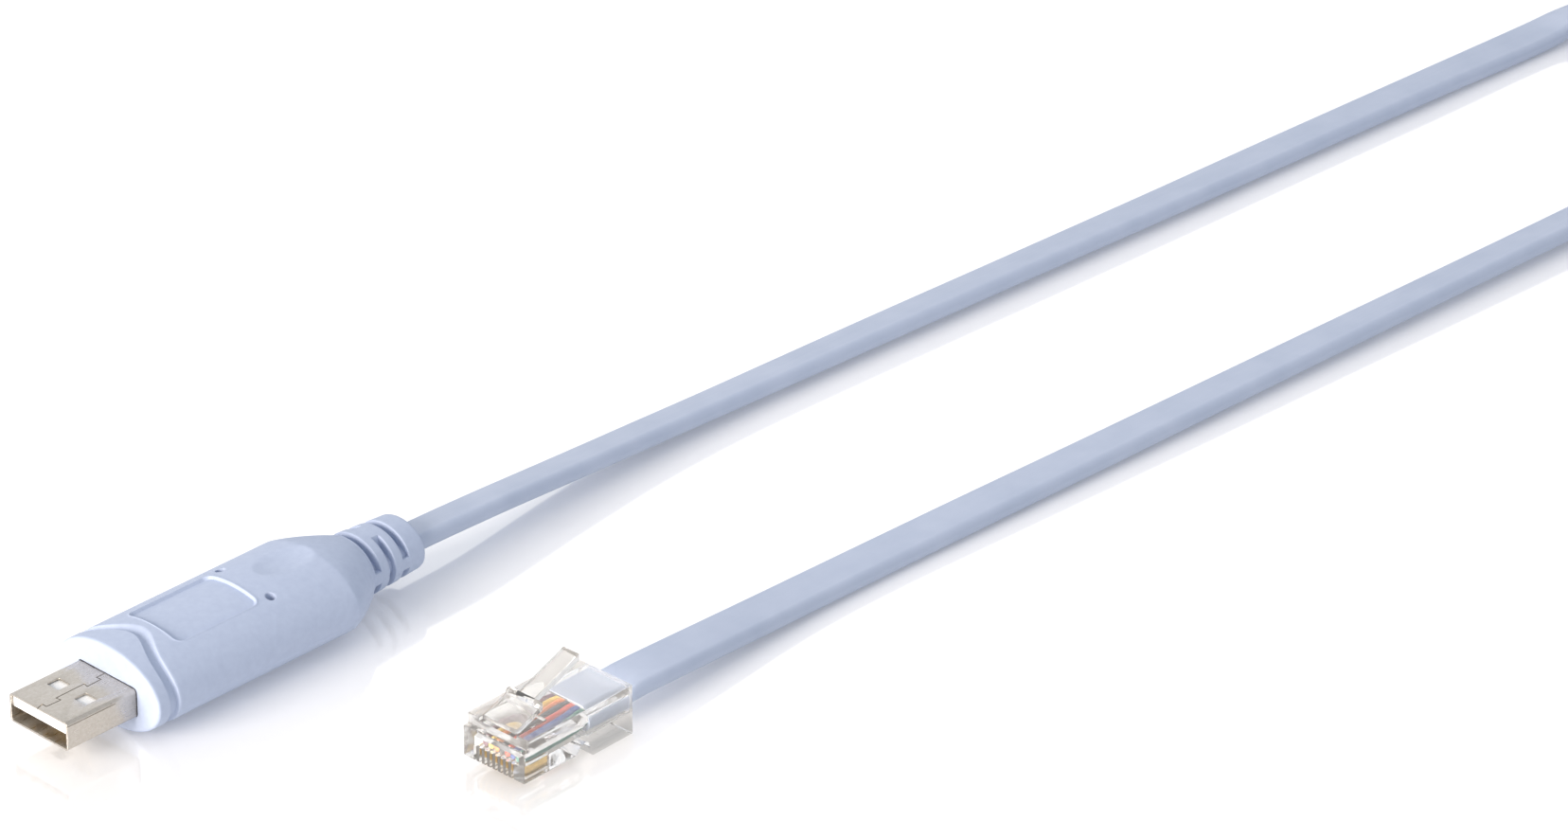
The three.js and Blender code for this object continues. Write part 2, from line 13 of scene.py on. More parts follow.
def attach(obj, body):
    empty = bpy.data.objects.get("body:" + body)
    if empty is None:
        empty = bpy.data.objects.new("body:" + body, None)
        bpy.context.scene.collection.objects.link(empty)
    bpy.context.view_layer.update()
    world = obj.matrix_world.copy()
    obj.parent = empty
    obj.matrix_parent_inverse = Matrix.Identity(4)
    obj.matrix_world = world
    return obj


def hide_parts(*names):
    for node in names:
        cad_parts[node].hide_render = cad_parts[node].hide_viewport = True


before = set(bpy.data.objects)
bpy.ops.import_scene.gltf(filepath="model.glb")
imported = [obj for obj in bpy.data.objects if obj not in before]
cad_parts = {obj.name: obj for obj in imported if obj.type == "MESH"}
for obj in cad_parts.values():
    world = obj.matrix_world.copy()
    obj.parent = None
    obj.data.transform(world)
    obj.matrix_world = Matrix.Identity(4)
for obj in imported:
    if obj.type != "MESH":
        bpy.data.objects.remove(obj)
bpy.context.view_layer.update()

MM = 0.001
NOISE_LOW, NOISE_HIGH = 0.3, 0.7  # nearly all of a noise lies between them
scene = bpy.context.scene

# Sizes, the same as the CAD part's
SHELL_WIDTH, SHELL_HEIGHT, SHELL_WALL, SHELL_RADIUS = 12.0, 4.5, 0.3, 0.55
SHELL_FRONT, HOUSING_FRONT, HOUSING_REAR, RELIEF_END = -34.2, -21.6, 23.4, 34.2
SHELL_AXIS, HOUSING_AXIS, LEAD_AXIS = 5.63, 6.13, 5.93
HOUSING_WIDTH, HOUSING_HEIGHT, HOUSING_POWER = 21.4, 12.5, 2.03
RIBBON_WIDTH, RIBBON_THICKNESS, RIBBON_RADIUS = 7.8, 2.5, 1.1
COIL_CENTRE = Vector((328.3, -54.0))
COIL_RADIUS, COIL_PITCH, COIL_TURNS = 47.0, 2.75, 4
TIE_ANGLE = math.radians(150)
PLUG_PLACE = Matrix.Translation((5.36, -48.75, 0)) @ Matrix.Rotation(math.radians(1.5), 4, "Z")
PLUG_LENGTH, PLUG_WIDTH, PLUG_TOP = 21.5, 11.68, 7.9
LEAD_HEIGHT, JACKET_SETBACK = 4.1, 12.4
POCKET_DEPTH, LATCH_GAP, LATCH_ANGLE = 0.5, 0.3, 20


# Materials
def linear(colour):
    """An sRGB hex colour as linear red, green, blue and alpha."""
    channels = [int(colour[i : i + 2], 16) / 255 for i in (1, 3, 5)]
    return [c / 12.92 if c <= 0.04045 else ((c + 0.055) / 1.055) ** 2.4 for c in channels] + [1.0]


def add_node(tree, kind, settings=None, links=None):
    """Adds a node. Settings go to its properties or sockets, and links feed its sockets."""
    node = tree.nodes.new(kind)
    for key, value in (settings or {}).items():
        if isinstance(key, str) and hasattr(node, key):
            setattr(node, key, value)
        else:
            node.inputs[key].default_value = value
    for key, source in (links or {}).items():
        tree.links.new(source, node.inputs[key])
    return node


def make_material(name, colour, roughness, patterns=(), shades=(), spread=(), relief=(), **sockets):
    """A material with one Principled shader, varied by patterns of a real size.

    The first pattern moves the roughness over the spread and raises the relief, given as its depth
    in millimetres and its strength. The last pattern moves the colour between the two shades.
    """
    material = bpy.data.materials.new(name)
    material.use_nodes = True
    tree = material.node_tree
    shader = tree.nodes["Principled BSDF"]
    sockets = {"Base_Color": linear(colour), "Roughness": roughness, **sockets}
    for socket, value in sockets.items():
        shader.inputs[socket.replace("_", " ")].default_value = value
    textures = []
    for pattern in patterns:
        if "surface_map" in pattern:
            place = add_node(tree, "ShaderNodeUVMap", {"uv_map": pattern["surface_map"]})
        else:
            place = add_node(tree, "ShaderNodeTexCoord")
        stretched = add_node(
            tree,
            "ShaderNodeMapping",
            {"Scale": pattern.get("stretch", (1, 1, 1))},
            {"Vector": place.outputs["UV" if "surface_map" in pattern else "Object"]},
        )
        kind = "ShaderNodeTexWave" if pattern.get("woven") else "ShaderNodeTexNoise"
        settings = {"Scale": 1 / (pattern["size"] * MM), **pattern["look"]}
        texture = add_node(tree, kind, settings, {"Vector": stretched.outputs["Vector"]})
        textures.append(texture.outputs["Fac"])
    if shades:
        ramp = add_node(tree, "ShaderNodeValToRGB", {}, {"Fac": textures[-1]})
        first, last = ramp.color_ramp.elements
        first.position, last.position = NOISE_LOW, NOISE_HIGH
        first.color, last.color = linear(shades[0]), linear(shades[1])
        tree.links.new(ramp.outputs["Color"], shader.inputs["Base Color"])
    if spread:
        limits = {"From Min": NOISE_LOW, "From Max": NOISE_HIGH}
        limits |= {"To Min": spread[0], "To Max": spread[1]}
        varied = add_node(tree, "ShaderNodeMapRange", limits, {"Value": textures[0]})
        tree.links.new(varied.outputs["Result"], shader.inputs["Roughness"])
    if relief:
        settings = {"Distance": relief[0] * MM, "Strength": relief[1]}
        raised = add_node(tree, "ShaderNodeBump", settings, {"Height": textures[0]})
        tree.links.new(raised.outputs["Normal"], shader.inputs["Normal"])
    return material


# Nickel-plated sheet steel, rolled and then folded: fine lines along the sheet, warm grey
rolled = {"size": 0.25, "stretch": (0.12, 1, 1), "look": {"Detail": 4, "Roughness": 0.5}}
cloudy = {"size": 0.5, "look": {"Detail": 4, "Roughness": 0.5}}
steel = make_material(
    "nickel_plated_steel", "#c3bdb4", 0.3, [rolled, cloudy], ("#c0b9af", "#cbc5bd"),
    (0.24, 0.38), (0.003, 0.2), Metallic=1.0,
)

# PBT insulator, injection moulded: an even off-white with a soft gloss
moulded = {"size": 0.2, "look": {"Detail": 3, "Roughness": 0.5}}
insulator = make_material(
    "white_pbt", "#eceef0", 0.4, [moulded], ("#e6e8ea", "#f1f2f3"), relief=(0.004, 0.4), IOR=1.55
)

# Gold flash over phosphor bronze, stamped and polished: bright, with faint stamping lines
stamped = {"size": 0.15, "stretch": (0.3, 1, 1), "look": {"Detail": 3, "Roughness": 0.5}}
gold = make_material(
    "gold_plating", "#e2bd6a", 0.22, [stamped], ("#d9b15a", "#ecca7c"), (0.16, 0.3), Metallic=1.0
)

# TPE overmould from a spark-eroded mould: a matt grain that spreads the highlights. The real grain
# is finer than a pixel, so it is drawn 0.16 mm wide.
eroded = {"size": 0.16, "look": {"Detail": 2, "Roughness": 0.6}}
mottled = {"size": 1.1, "look": {"Detail": 4, "Roughness": 0.6}}
tpe = make_material(
    "pale_blue_tpe", "#b1bdd5", 0.5, [eroded, mottled], ("#adb9d2", "#b4c0d8"),
    (0.46, 0.58), (0.012, 0.35), IOR=1.5,
)

# PVC jacket, extruded: satin, with very faint lines that the die leaves along it
die_lines = {
    "size": 0.5, "stretch": (0.02, 1, 1), "surface_map": "along_and_round",
    "look": {"Detail": 3, "Roughness": 0.5},
}
uneven = {"size": 6.0, "look": {"Detail": 3, "Roughness": 0.5}}
pvc = make_material(
    "pale_blue_pvc", "#aebad1", 0.45, [die_lines, uneven], ("#aab6cd", "#b2bdd3"),
    (0.36, 0.46), (0.02, 0.4), IOR=1.5,
)

# Polycarbonate, moulded in a polished tool: clear, with a slight haze and flow waves
flow = {"size": 3.0, "stretch": (0.4, 1, 1), "look": {"Detail": 2, "Roughness": 0.5}}
polycarbonate = make_material(
    "clear_polycarbonate", "#f8f8f7", 0.03, [flow], relief=(0.04, 0.12), IOR=1.45,
    Transmission_Weight=0.92,
)

# Nylon hook-and-loop strap, woven: fine ribs across a dark strap that scatter light
ribs = {"size": 2.2, "woven": True, "look": {"Distortion": 1.2, "Detail": 2, "Detail Scale": 3}}
nylon = make_material(
    "woven_nylon", "#26282c", 0.85, [ribs], ("#1b1c20", "#34363c"), relief=(0.25, 0.6),
    Sheen_Weight=0.25,
)

# Polyolefin insulation, extruded: glossy, with a slightly cloudy colour
INSULATION = {"size": 0.5, "stretch": (0.3, 1, 1), "look": {"Detail": 3, "Roughness": 0.5}}


# Making meshes
def new_piece(name, mesh, material, smooth_angle=35):
    """A piece made from a mesh in millimetres: scaled to metres, coloured and shaded."""
    mesh.transform(Matrix.Scale(MM, 4))
    mesh.materials.clear()
    mesh.materials.append(material)
    mesh.name = name
    piece = bpy.data.objects.new(name, mesh)
    scene.collection.objects.link(piece)
    mesh.shade_smooth()
    if smooth_angle is not None:
        mesh.set_sharp_from_angle(angle=math.radians(smooth_angle))
    return piece


def ring_faces(ring_count, count, close_start=True, close_end=True):
    """The faces that join rings of count points each, and one face over each closed end."""
    faces = []
    for r in range(ring_count - 1):
        for i in range(count):
            j = (i + 1) % count
            faces.append((r * count + i, r * count + j, (r + 1) * count + j, (r + 1) * count + i))
    if close_start:
        faces.append(tuple(reversed(range(count))))
    if close_end:
        faces.append(tuple((ring_count - 1) * count + i for i in range(count)))
    return faces


def skin(rings, close_start=True, close_end=True):
    """A mesh over rings of equally many points, each joined to the next, with its ends closed."""
    mesh = bpy.data.meshes.new("skin")
    faces = ring_faces(len(rings), len(rings[0]), close_start, close_end)
    mesh.from_pydata([Vector(p) for ring in rings for p in ring], [], faces)
    tidy_normals(mesh)
    return mesh


def tidy_normals(mesh, merge=1e-5):
    """Merges doubles and turns the faces outwards."""
    work = bmesh.new()
    work.from_mesh(mesh)
    bmesh.ops.remove_doubles(work, verts=work.verts, dist=merge)
    bmesh.ops.recalc_face_normals(work, faces=work.faces)
    work.to_mesh(mesh)
    work.free()


def rounded_rectangle(width, height, radius, steps=4):
    """Points round a rectangle with rounded corners, from its lower right corner anticlockwise."""
    points = []
    for quarter, (sx, sy) in enumerate(((1, -1), (1, 1), (-1, 1), (-1, -1))):
        centre = (sx * (width / 2 - radius), sy * (height / 2 - radius))
        start = -math.pi / 2 + quarter * math.pi / 2
        for i in range(steps + 1):
            angle = start + (math.pi / 2) * i / steps
            points.append(
                (centre[0] + radius * math.cos(angle), centre[1] + radius * math.sin(angle))
            )
    return points


def prism(profile, low, high, across=False):
    """A prism of a plan outline between two heights, or of a side outline between two places."""
    place = (lambda p, t: (p[0], t, p[1])) if across else (lambda p, t: (p[0], p[1], t))
    return skin([[place(p, low) for p in profile], [place(p, high) for p in profile]])


def block(low, high):
    """A box between its lowest and highest corner."""
    outline = [(low[0], low[1]), (high[0], low[1]), (high[0], high[1]), (low[0], high[1])]
    return prism(outline, low[2], high[2])


def bevelled(mesh, width, segments=2, angle=30):
    """The mesh with its sharp edges rounded."""
    return with_modifier(
        mesh,
        "BEVEL",
        width=width,
        segments=segments,
        limit_method="ANGLE",
        angle_limit=math.radians(angle),
        harden_normals=False,
    )


def with_modifier(mesh, kind, **settings):
    """The mesh after one modifier."""
    carrier = bpy.data.objects.new("carrier", mesh)
    scene.collection.objects.link(carrier)
    modifier = carrier.modifiers.new("step", kind)
    for key, value in settings.items():
        setattr(modifier, key, value)
    bpy.context.view_layer.update()
    evaluated = carrier.evaluated_get(bpy.context.evaluated_depsgraph_get())
    result = bpy.data.meshes.new_from_object(evaluated)
    bpy.data.objects.remove(carrier)
    return result


def combined(mesh, others, operation="DIFFERENCE"):
    """The mesh with the others cut from it or added to it."""
    for other in others:
        tool = bpy.data.objects.new("tool", other)
        scene.collection.objects.link(tool)
        mesh = with_modifier(mesh, "BOOLEAN", operation=operation, object=tool, solver="EXACT")
        bpy.data.objects.remove(tool)
    return mesh


def joined(meshes):
    """Several separate shells as one mesh."""
    work = bmesh.new()
    for mesh in meshes:
        work.from_mesh(mesh)
    result = bpy.data.meshes.new("joined")
    work.to_mesh(result)
    work.free()
    return result


# Geometry Nodes
def new_tree(name, inputs):
    """A Geometry Nodes tree with named inputs, its input node and its output node."""
    tree = bpy.data.node_groups.new(name, "GeometryNodeTree")
    tree.interface.new_socket("Geometry", in_out="INPUT", socket_type="NodeSocketGeometry")
    for label, kind in inputs.items():
        tree.interface.new_socket(label, in_out="INPUT", socket_type=f"NodeSocket{kind}")
    tree.interface.new_socket("Geometry", in_out="OUTPUT", socket_type="NodeSocketGeometry")
    return tree, add_node(tree, "NodeGroupInput"), add_node(tree, "NodeGroupOutput")


def grown(source, tree, values):
    """The mesh that a Geometry Nodes tree makes from an object, which is then removed."""
    modifier = source.modifiers.new("grow", "NODES")
    modifier.node_group = tree
    sockets = {s.name: s.identifier for s in tree.interface.items_tree if s.in_out == "INPUT"}
    for label, value in values.items():
        modifier[sockets[label]] = value
    bpy.context.view_layer.update()
    evaluated = source.evaluated_get(bpy.context.evaluated_depsgraph_get())
    mesh = bpy.data.meshes.new_from_object(evaluated)
    bpy.data.objects.remove(source)
    tidy_normals(mesh)
    return mesh


def make_row_tree():
    """Repeats one part in a row: the blades, their slots and the contacts."""
    tree, given, made = new_tree(
        "row_of_parts", {"Count": "Int", "Step": "Vector", "Material": "Material"}
    )
    line = add_node(tree, "GeometryNodeMeshLine", {"mode": "OFFSET"}, {
        "Count": given.outputs["Count"], "Offset": given.outputs["Step"]})
    copies = add_node(tree, "GeometryNodeInstanceOnPoints", {}, {
        "Points": line.outputs["Mesh"], "Instance": given.outputs["Geometry"]})
    real = add_node(tree, "GeometryNodeRealizeInstances", {}, {
        "Geometry": copies.outputs["Instances"]})
    finish = add_node(tree, "GeometryNodeSetMaterial", {}, {
        "Geometry": real.outputs["Geometry"], "Material": given.outputs["Material"]})
    tree.links.new(finish.outputs["Geometry"], made.inputs["Geometry"])
    return tree


def make_wire_tree():
    """Skins a wire's path with round insulation."""
    tree, given, made = new_tree(
        "wire_along_path", {"Radius": "Float", "Spacing": "Float", "Material": "Material"}
    )
    path = add_node(tree, "GeometryNodeResampleCurve", {"mode": "LENGTH"}, {
        "Curve": given.outputs["Geometry"], "Length": given.outputs["Spacing"]})
    section = add_node(tree, "GeometryNodeCurvePrimitiveCircle", {"Resolution": 20}, {
        "Radius": given.outputs["Radius"]})
    skinned = add_node(tree, "GeometryNodeCurveToMesh", {"Fill Caps": True}, {
        "Curve": path.outputs["Curve"], "Profile Curve": section.outputs["Curve"]})
    real = add_node(tree, "GeometryNodeRealizeInstances", {}, {"Geometry": skinned.outputs["Mesh"]})
    finish = add_node(tree, "GeometryNodeSetMaterial", {}, {
        "Geometry": real.outputs["Geometry"], "Material": given.outputs["Material"]})
    tree.links.new(finish.outputs["Geometry"], made.inputs["Geometry"])
    return tree


row_tree = make_row_tree()
wire_tree = make_wire_tree()


def row_of(part, count, step, material):
    """The mesh of a part repeated in a row, in millimetres."""
    source = bpy.data.objects.new("part", part)
    scene.collection.objects.link(source)
    return grown(source, row_tree, {"Count": count, "Step": step, "Material": material})


def wire_along(points, radius, material):
    """The mesh of a wire along smooth points, in millimetres."""
    curve = bpy.data.curves.new("path", "CURVE")
    curve.dimensions = "3D"
    spline = curve.splines.new("POLY")
    spline.points.add(len(points) - 1)
    for target, point in zip(spline.points, points):
        target.co = (*point, 1)
    source = bpy.data.objects.new("path", curve)
    scene.collection.objects.link(source)
    return grown(source, wire_tree, {"Radius": radius, "Spacing": 0.4, "Material": material})


# Camera
def make_camera():
    """A long lens, as the picture's nearly parallel edges show."""
    data = bpy.data.cameras.new("camera")
    data.sensor_width = 36.0
    data.lens = 173.913
    data.clip_end = 10
    camera = bpy.data.objects.new("camera", data)
    camera.location = (-0.60089, -0.69260, 0.54453)
    camera.rotation_euler = (math.radians(61.065), 0, math.radians(-45.849))
    scene.collection.objects.link(camera)
    scene.camera = camera


make_camera()


# The flat lead
# Each point is x, y, height and roll in degrees, as in the CAD part.
RELIEF_TO_COIL = [
    (33.4, 0, 5.93, -15), (36.5, 0, 5.93, -15), (40.7, 0, 5.85, -15), (47.7, 0.07, 5.6, -15),
    (55.5, 0.48, 5.0, -15), (65.2, 1.03, 4.15, -15), (75.0, 1.48, 3.4, -15),
    (84.7, 1.83, 2.75, -15), (99.5, 1.8, 2.15, -15), (114.3, 1.35, 1.95, -14),
    (134.3, 0.45, 1.9, -13), (164.3, -1.05, 1.82, -12), (194.3, -2.55, 1.75, -10),
    (224.3, -3.85, 1.67, -8), (254.3, -5.25, 1.6, -7), (284.3, -6.65, 1.55, -6),
    (288.5, -6.8, 2.05, -14), (294.0, -6.95, 3.0, -35), (302.0, -7.05, 3.9, -65),
    (312.5, -6.8, 4.0, -90),
]
MODULAR_TO_COIL = [
    (32.3, -47.95, 4.0, 0), (39.3, -47.65, 3.6, 0), (49.3, -47.15, 2.9, -1),
    (59.3, -46.65, 2.2, -2), (69.3, -46.35, 1.7, -3), (84.3, -46.55, 1.45, -4),
    (104.3, -47.35, 1.52, -5), (129.3, -48.45, 1.6, -7), (154.3, -49.45, 1.7, -9),
    (179.3, -50.45, 1.8, -11), (204.3, -51.45, 1.87, -13), (226.3, -52.35, 1.95, -14),
    (236.5, -52.75, 2.0, -14), (245.7, -53.25, 2.2, -12), (255.2, -55.55, 3.0, -9),
    (264.3, -60.15, 4.8, -6), (272.5, -66.6, 7.2, -3), (281.1, -75.2, 9.25, 0),
    (290.0, -86.1, 9.45, 0), (301.1, -92.9, 9.45, 0),
]


def coil_points():
    """The turns stand on edge and wind inwards, then the last climbs in the bore to cross them."""
    step = 15
    flat_turns, climb_end = 3.86, 4.485
    on_edge, crossing = 3.95, 9.45
    strap_lift, strap_spread = 0.85, 22
    inward_reach, outward_reach, outward_start = 5.6, 3.6, 0.62
    points = []
    for i in range(round(climb_end * 360 / step) + 1):
        turn = i * step / 360
        angle = math.radians(90 - i * step)
        climb = min(1, max(0, (turn - flat_turns) / (climb_end - flat_turns)))
        lift = climb * climb * (3 - 2 * climb)
        from_strap = math.degrees(math.remainder(angle - TIE_ANGLE, math.tau))
        over_strap = strap_lift * math.exp(-((from_strap / strap_spread) ** 2))
        height = on_edge + over_strap * (1 - lift) + (crossing - on_edge) * min(1, lift * 1.15)
        radius = COIL_RADIUS - COIL_PITCH * min(turn, flat_turns + 0.1)
        radius -= math.sin(math.pi * min(1, climb * 1.25)) * inward_reach
        radius += max(0, climb - outward_start) / (1 - outward_start) * outward_reach
        place = COIL_CENTRE + radius * Vector((math.cos(angle), math.sin(angle)))
        points.append((place.x, place.y, height, -90 * (1 - min(1, lift * 1.1))))
    return points


def lead_route():
    """The whole route of the lead, from the strain relief to the end of its jacket in the plug."""
    back = [(x, y, z, -roll) for x, y, z, roll in reversed(MODULAR_TO_COIL)]
    inside = []
    for along in (PLUG_LENGTH + 4, PLUG_LENGTH, 17.5, JACKET_SETBACK + 1.6):
        x, y, _ = PLUG_PLACE @ Vector((along, 0, 0))
        inside.append((x, y, LEAD_HEIGHT + 0.1 * (PLUG_LENGTH - along) / 9, 0))
    return RELIEF_TO_COIL + coil_points() + back + inside


def smooth_path(points, spacing):
    """Points at about the given spacing on a smooth curve through points of any size."""
    ends = [tuple(2 * a - b for a, b in zip(points[0], points[1]))]
    ends.append(tuple(2 * a - b for a, b in zip(points[-1], points[-2])))
    knots = [ends[0], *points, ends[1]]
    result = []
    for k in range(1, len(knots) - 2):
        quad = knots[k - 1 : k + 3]
        times = [0.0]
        for a, b in zip(quad, quad[1:]):
            times.append(times[-1] + max(1e-6, math.dist(a[:3], b[:3])) ** 0.5)
        pieces = max(1, round(math.dist(quad[1][:3], quad[2][:3]) / spacing))
        for i in range(pieces):
            t = times[1] + (times[2] - times[1]) * i / pieces
            result.append(point_between(quad, times, t))
    return result + [points[-1]]


def point_between(quad, times, t):
    """The point at t on the smooth curve from the second to the third of four points."""
    level = list(quad)
    for order in (1, 2, 3):
        row = []
        for i in range(len(level) - 1):
            low, high = (times[i], times[i + order]) if order < 3 else (times[1], times[2])
            share = (t - low) / (high - low)
            row.append(tuple(a + (b - a) * share for a, b in zip(level[i], level[i + 1])))
        level = row
    return level[0]


def ribbon_rings(path, section):
    """The flat lead's section set square to its path, rolled as each point says."""
    rings = []
    for i, point in enumerate(path):
        before, after = path[max(0, i - 1)], path[min(len(path) - 1, i + 1)]
        forward = (Vector(after[:3]) - Vector(before[:3])).normalized()
        left = Vector((0, 0, 1)).cross(forward).normalized()
        roll = Matrix.Rotation(math.radians(point[3]), 3, forward)
        across, up = roll @ left, roll @ forward.cross(left)
        centre = Vector(point[:3])
        rings.append([centre + across * u + up * v for u, v in section])
    return rings


def give_surface_map(mesh, path, section):
    """A UV map in metres: along the lead, and round it."""
    along, round_it = [0.0], [0.0]
    for a, b in zip(path, path[1:]):
        along.append(along[-1] + math.dist(a[:3], b[:3]) * MM)
    for a, b in zip(section, section[1:]):
        round_it.append(round_it[-1] + math.dist(a, b) * MM)
    layer = mesh.uv_layers.new(name="along_and_round")
    count = len(section)
    for face in mesh.polygons:
        for corner in face.loop_indices:
            index = mesh.loops[corner].vertex_index
            ring, place = divmod(index, count)
            ring = min(ring, len(path) - 1)
            layer.data[corner].uv = (along[ring], round_it[place])


def make_lead():
    """The flat eight-core lead, one extrusion with rounded edges."""
    path = smooth_path(lead_route(), 3.0)
    section = rounded_rectangle(RIBBON_WIDTH, RIBBON_THICKNESS, RIBBON_RADIUS, 5)
    mesh = bpy.data.meshes.new("lead")
    rings = ribbon_rings(path, section)
    points = [p for ring in rings for p in ring]
    mesh.from_pydata(points, [], ring_faces(len(rings), len(section)))
    give_surface_map(mesh, path, section)
    lead = new_piece("flat_lead", mesh, pvc, 60)
    return lead, path


flat_lead, lead_path = make_lead()


# The converter housing with its strain relief, one moulding
GROOVE_DEPTH, GROOVE_SIDE, GROOVE_TOP, GROOVE_BULGE = 0.65, (2.1, 3.9), (4.9, 7.2), 4.8
LABEL_SETBACK, LABEL_LENGTH, LABEL_WIDTH, LABEL_RADIUS, LABEL_DEPTH = 8.5, 15.2, 10.8, 1.2, 0.42
HOLE_SETBACK, HOLE_SPACING, HOLE_RADIUS, HOLE_DEPTH = 25.9, 10.4, 0.7, 1.6
DIMPLE_SETBACK, DIMPLE_LENGTH, DIMPLE_WIDTH, DIMPLE_DEPTH = 33.2, 10.4, 8.2, 0.42
FRONT_FILLET, TAPER, TAPER_POWER, REST_DEPTH = 0.5, 7.4, 1.2, 0.12
RELIEF_ROOT, RELIEF_TIP, RELIEF_EDGE = (11.6, 9.5), (10.2, 8.1), 0.5
SLOT_WIDTH, SLOT_PITCH, FIRST_SLOT, SIDE_BRIDGE, TOP_BRIDGE = 1.25, 2.85, 1.1, 1.8, 3.4
CORE_WIDTH, CORE_HEIGHT, CORE_POWER = 9.1, 3.8, 3.0
GATE_X, GATE_HEIGHT, GATE_DEPTH = 29.85, 6.0, 0.22
GROOVE_START, GROOVE_END, GROOVE_WALL = 0.5, 8.35, 0.16
LABEL_RIM, HOLE_RIM, HOLE_RIM_WIDTH = 0.06, 0.05, 0.14
SHELL_PLAY, LEAD_PLAY, LEAD_ROLL = 0.16, 0.1, -15
HOUSING_LENGTH = HOUSING_REAR - HOUSING_FRONT


def smoothstep(low, high, value):
    """0 up to low and 1 from high, with a smooth step between."""
    t = min(1, max(0, (value - low) / (high - low)))
    return t * t * (3 - 2 * t)


def signed_power(value, exponent):
    """A power of the size of a value, with its sign kept."""
    return math.copysign(abs(value) ** exponent, value)


def oval(width, height, angle, power=HOUSING_POWER):
    """The point of an oval with full sides, in the direction of an angle."""
    return (
        width / 2 * signed_power(math.cos(angle), 2 / power),
        height / 2 * signed_power(math.sin(angle), 2 / power),
    )


def spaced(stops):
    """Values from stop to stop: each stop is a value and the spacing up to it."""
    values = [stops[0][0]]
    for (start, _), (end, spacing) in zip(stops, stops[1:]):
        count = max(1, math.ceil((end - start) / spacing - 1e-6))
        values += [start + (end - start) * i / count for i in range(1, count + 1)]
    return values


def round_angles():
    """Angles round the housing: close together where the label, the holes and the slots end."""
    half = HOUSING_WIDTH / 2
    top = [(0, 0.4), (4.25, 0.4), (6.15, 0.075), (8.6, 0.35), (9.8, 0.2), (half, 0.09)]
    bottom = [(0, 0.8), (8.6, 0.8), (half, 0.3)]
    angles = set()
    for stops, side in ((top, 1), (bottom, -1)):
        for y in spaced(stops):
            angle = side * math.acos(min(1, (y / half) ** (HOUSING_POWER / 2)))
            angles |= {angle, side * math.pi - angle}
    for end in (math.asin(0.9 / 4.35), math.acos(1.7 / 5.35)):
        for shift in (-0.03, -0.012, 0.006, 0.03):
            a = end + shift
            angles |= {a, math.pi - a, -a, a - math.pi}
    ordered = []
    for angle in sorted(angles):
        if not ordered or angle - ordered[-1] > 0.004:
            ordered.append(angle)
    if ordered[-1] - ordered[0] > math.tau - 0.004:
        ordered.pop()
    return ordered


def groove_shift(s, y):
    """How far a line across the housing is carried back to follow the groove's bulge."""
    bulge = math.exp(-((y / GROOVE_BULGE) ** 2))
    front, rear = GROOVE_SIDE
    at_front, at_rear = GROOVE_TOP[0] - front, GROOVE_TOP[1] - rear
    if s < front:
        return bulge * at_front * smoothstep(GROOVE_START, front, s) if s > GROOVE_START else 0.0
    if s < rear:
        return bulge * (at_front + (at_rear - at_front) * (s - front) / (rear - front))
    return bulge * at_rear * max(0.0, (GROOVE_END - s) / (GROOVE_END - rear))


def groove_inset(s, y):
    """A steep front wall, a floor, and a rounded slope at the rear, which is widest on top."""
    front, rear = GROOVE_SIDE
    bulge = math.exp(-((y / GROOVE_BULGE) ** 2))
    down = smoothstep(front - 0.02, front + GROOVE_WALL, s)
    up = 1 - smoothstep(front + 1.45 - 0.85 * bulge, rear + 0.05, s)
    return GROOVE_DEPTH * min(down, up)


def label_inset(s, y):
    """The bare recess for a label, with steep walls and a slightly raised rim."""
    dx = abs(s - (LABEL_SETBACK + LABEL_LENGTH / 2)) - (LABEL_LENGTH / 2 - LABEL_RADIUS)
    dy = abs(y) - (LABEL_WIDTH / 2 - LABEL_RADIUS)
    outside = math.hypot(max(dx, 0), max(dy, 0)) + min(max(dx, dy), 0) - LABEL_RADIUS
    rim = LABEL_RIM * math.exp(-(((outside - 0.12) / 0.13) ** 2))
    return LABEL_DEPTH * (1 - smoothstep(-0.12, 0.02, outside)) - rim


def hole_depth(s, y):
    """The two sight holes behind the label, each with a slightly sunk edge."""
    away = math.hypot(s - HOLE_SETBACK, abs(y) - HOLE_SPACING / 2)
    edge = HOLE_RIM * (1 - smoothstep(HOLE_RADIUS, HOLE_RADIUS + HOLE_RIM_WIDTH, away))
    return edge + HOLE_DEPTH * (1 - smoothstep(HOLE_RADIUS - 0.09, HOLE_RADIUS, away))


def dimple_floor(s, y):
    """Height of the thumb dimple's floor above the axis, far above it outside the dimple."""
    rise = 4 * DIMPLE_DEPTH
    share = math.sqrt(1 - ((rise - DIMPLE_DEPTH) / rise) ** 2)
    away = math.hypot((s - DIMPLE_SETBACK) / (DIMPLE_LENGTH / 2), y / (DIMPLE_WIDTH / 2)) * share
    if away >= 1:
        return HOUSING_HEIGHT
    return HOUSING_HEIGHT / 2 + rise - DIMPLE_DEPTH - rise * math.sqrt(1 - away * away)


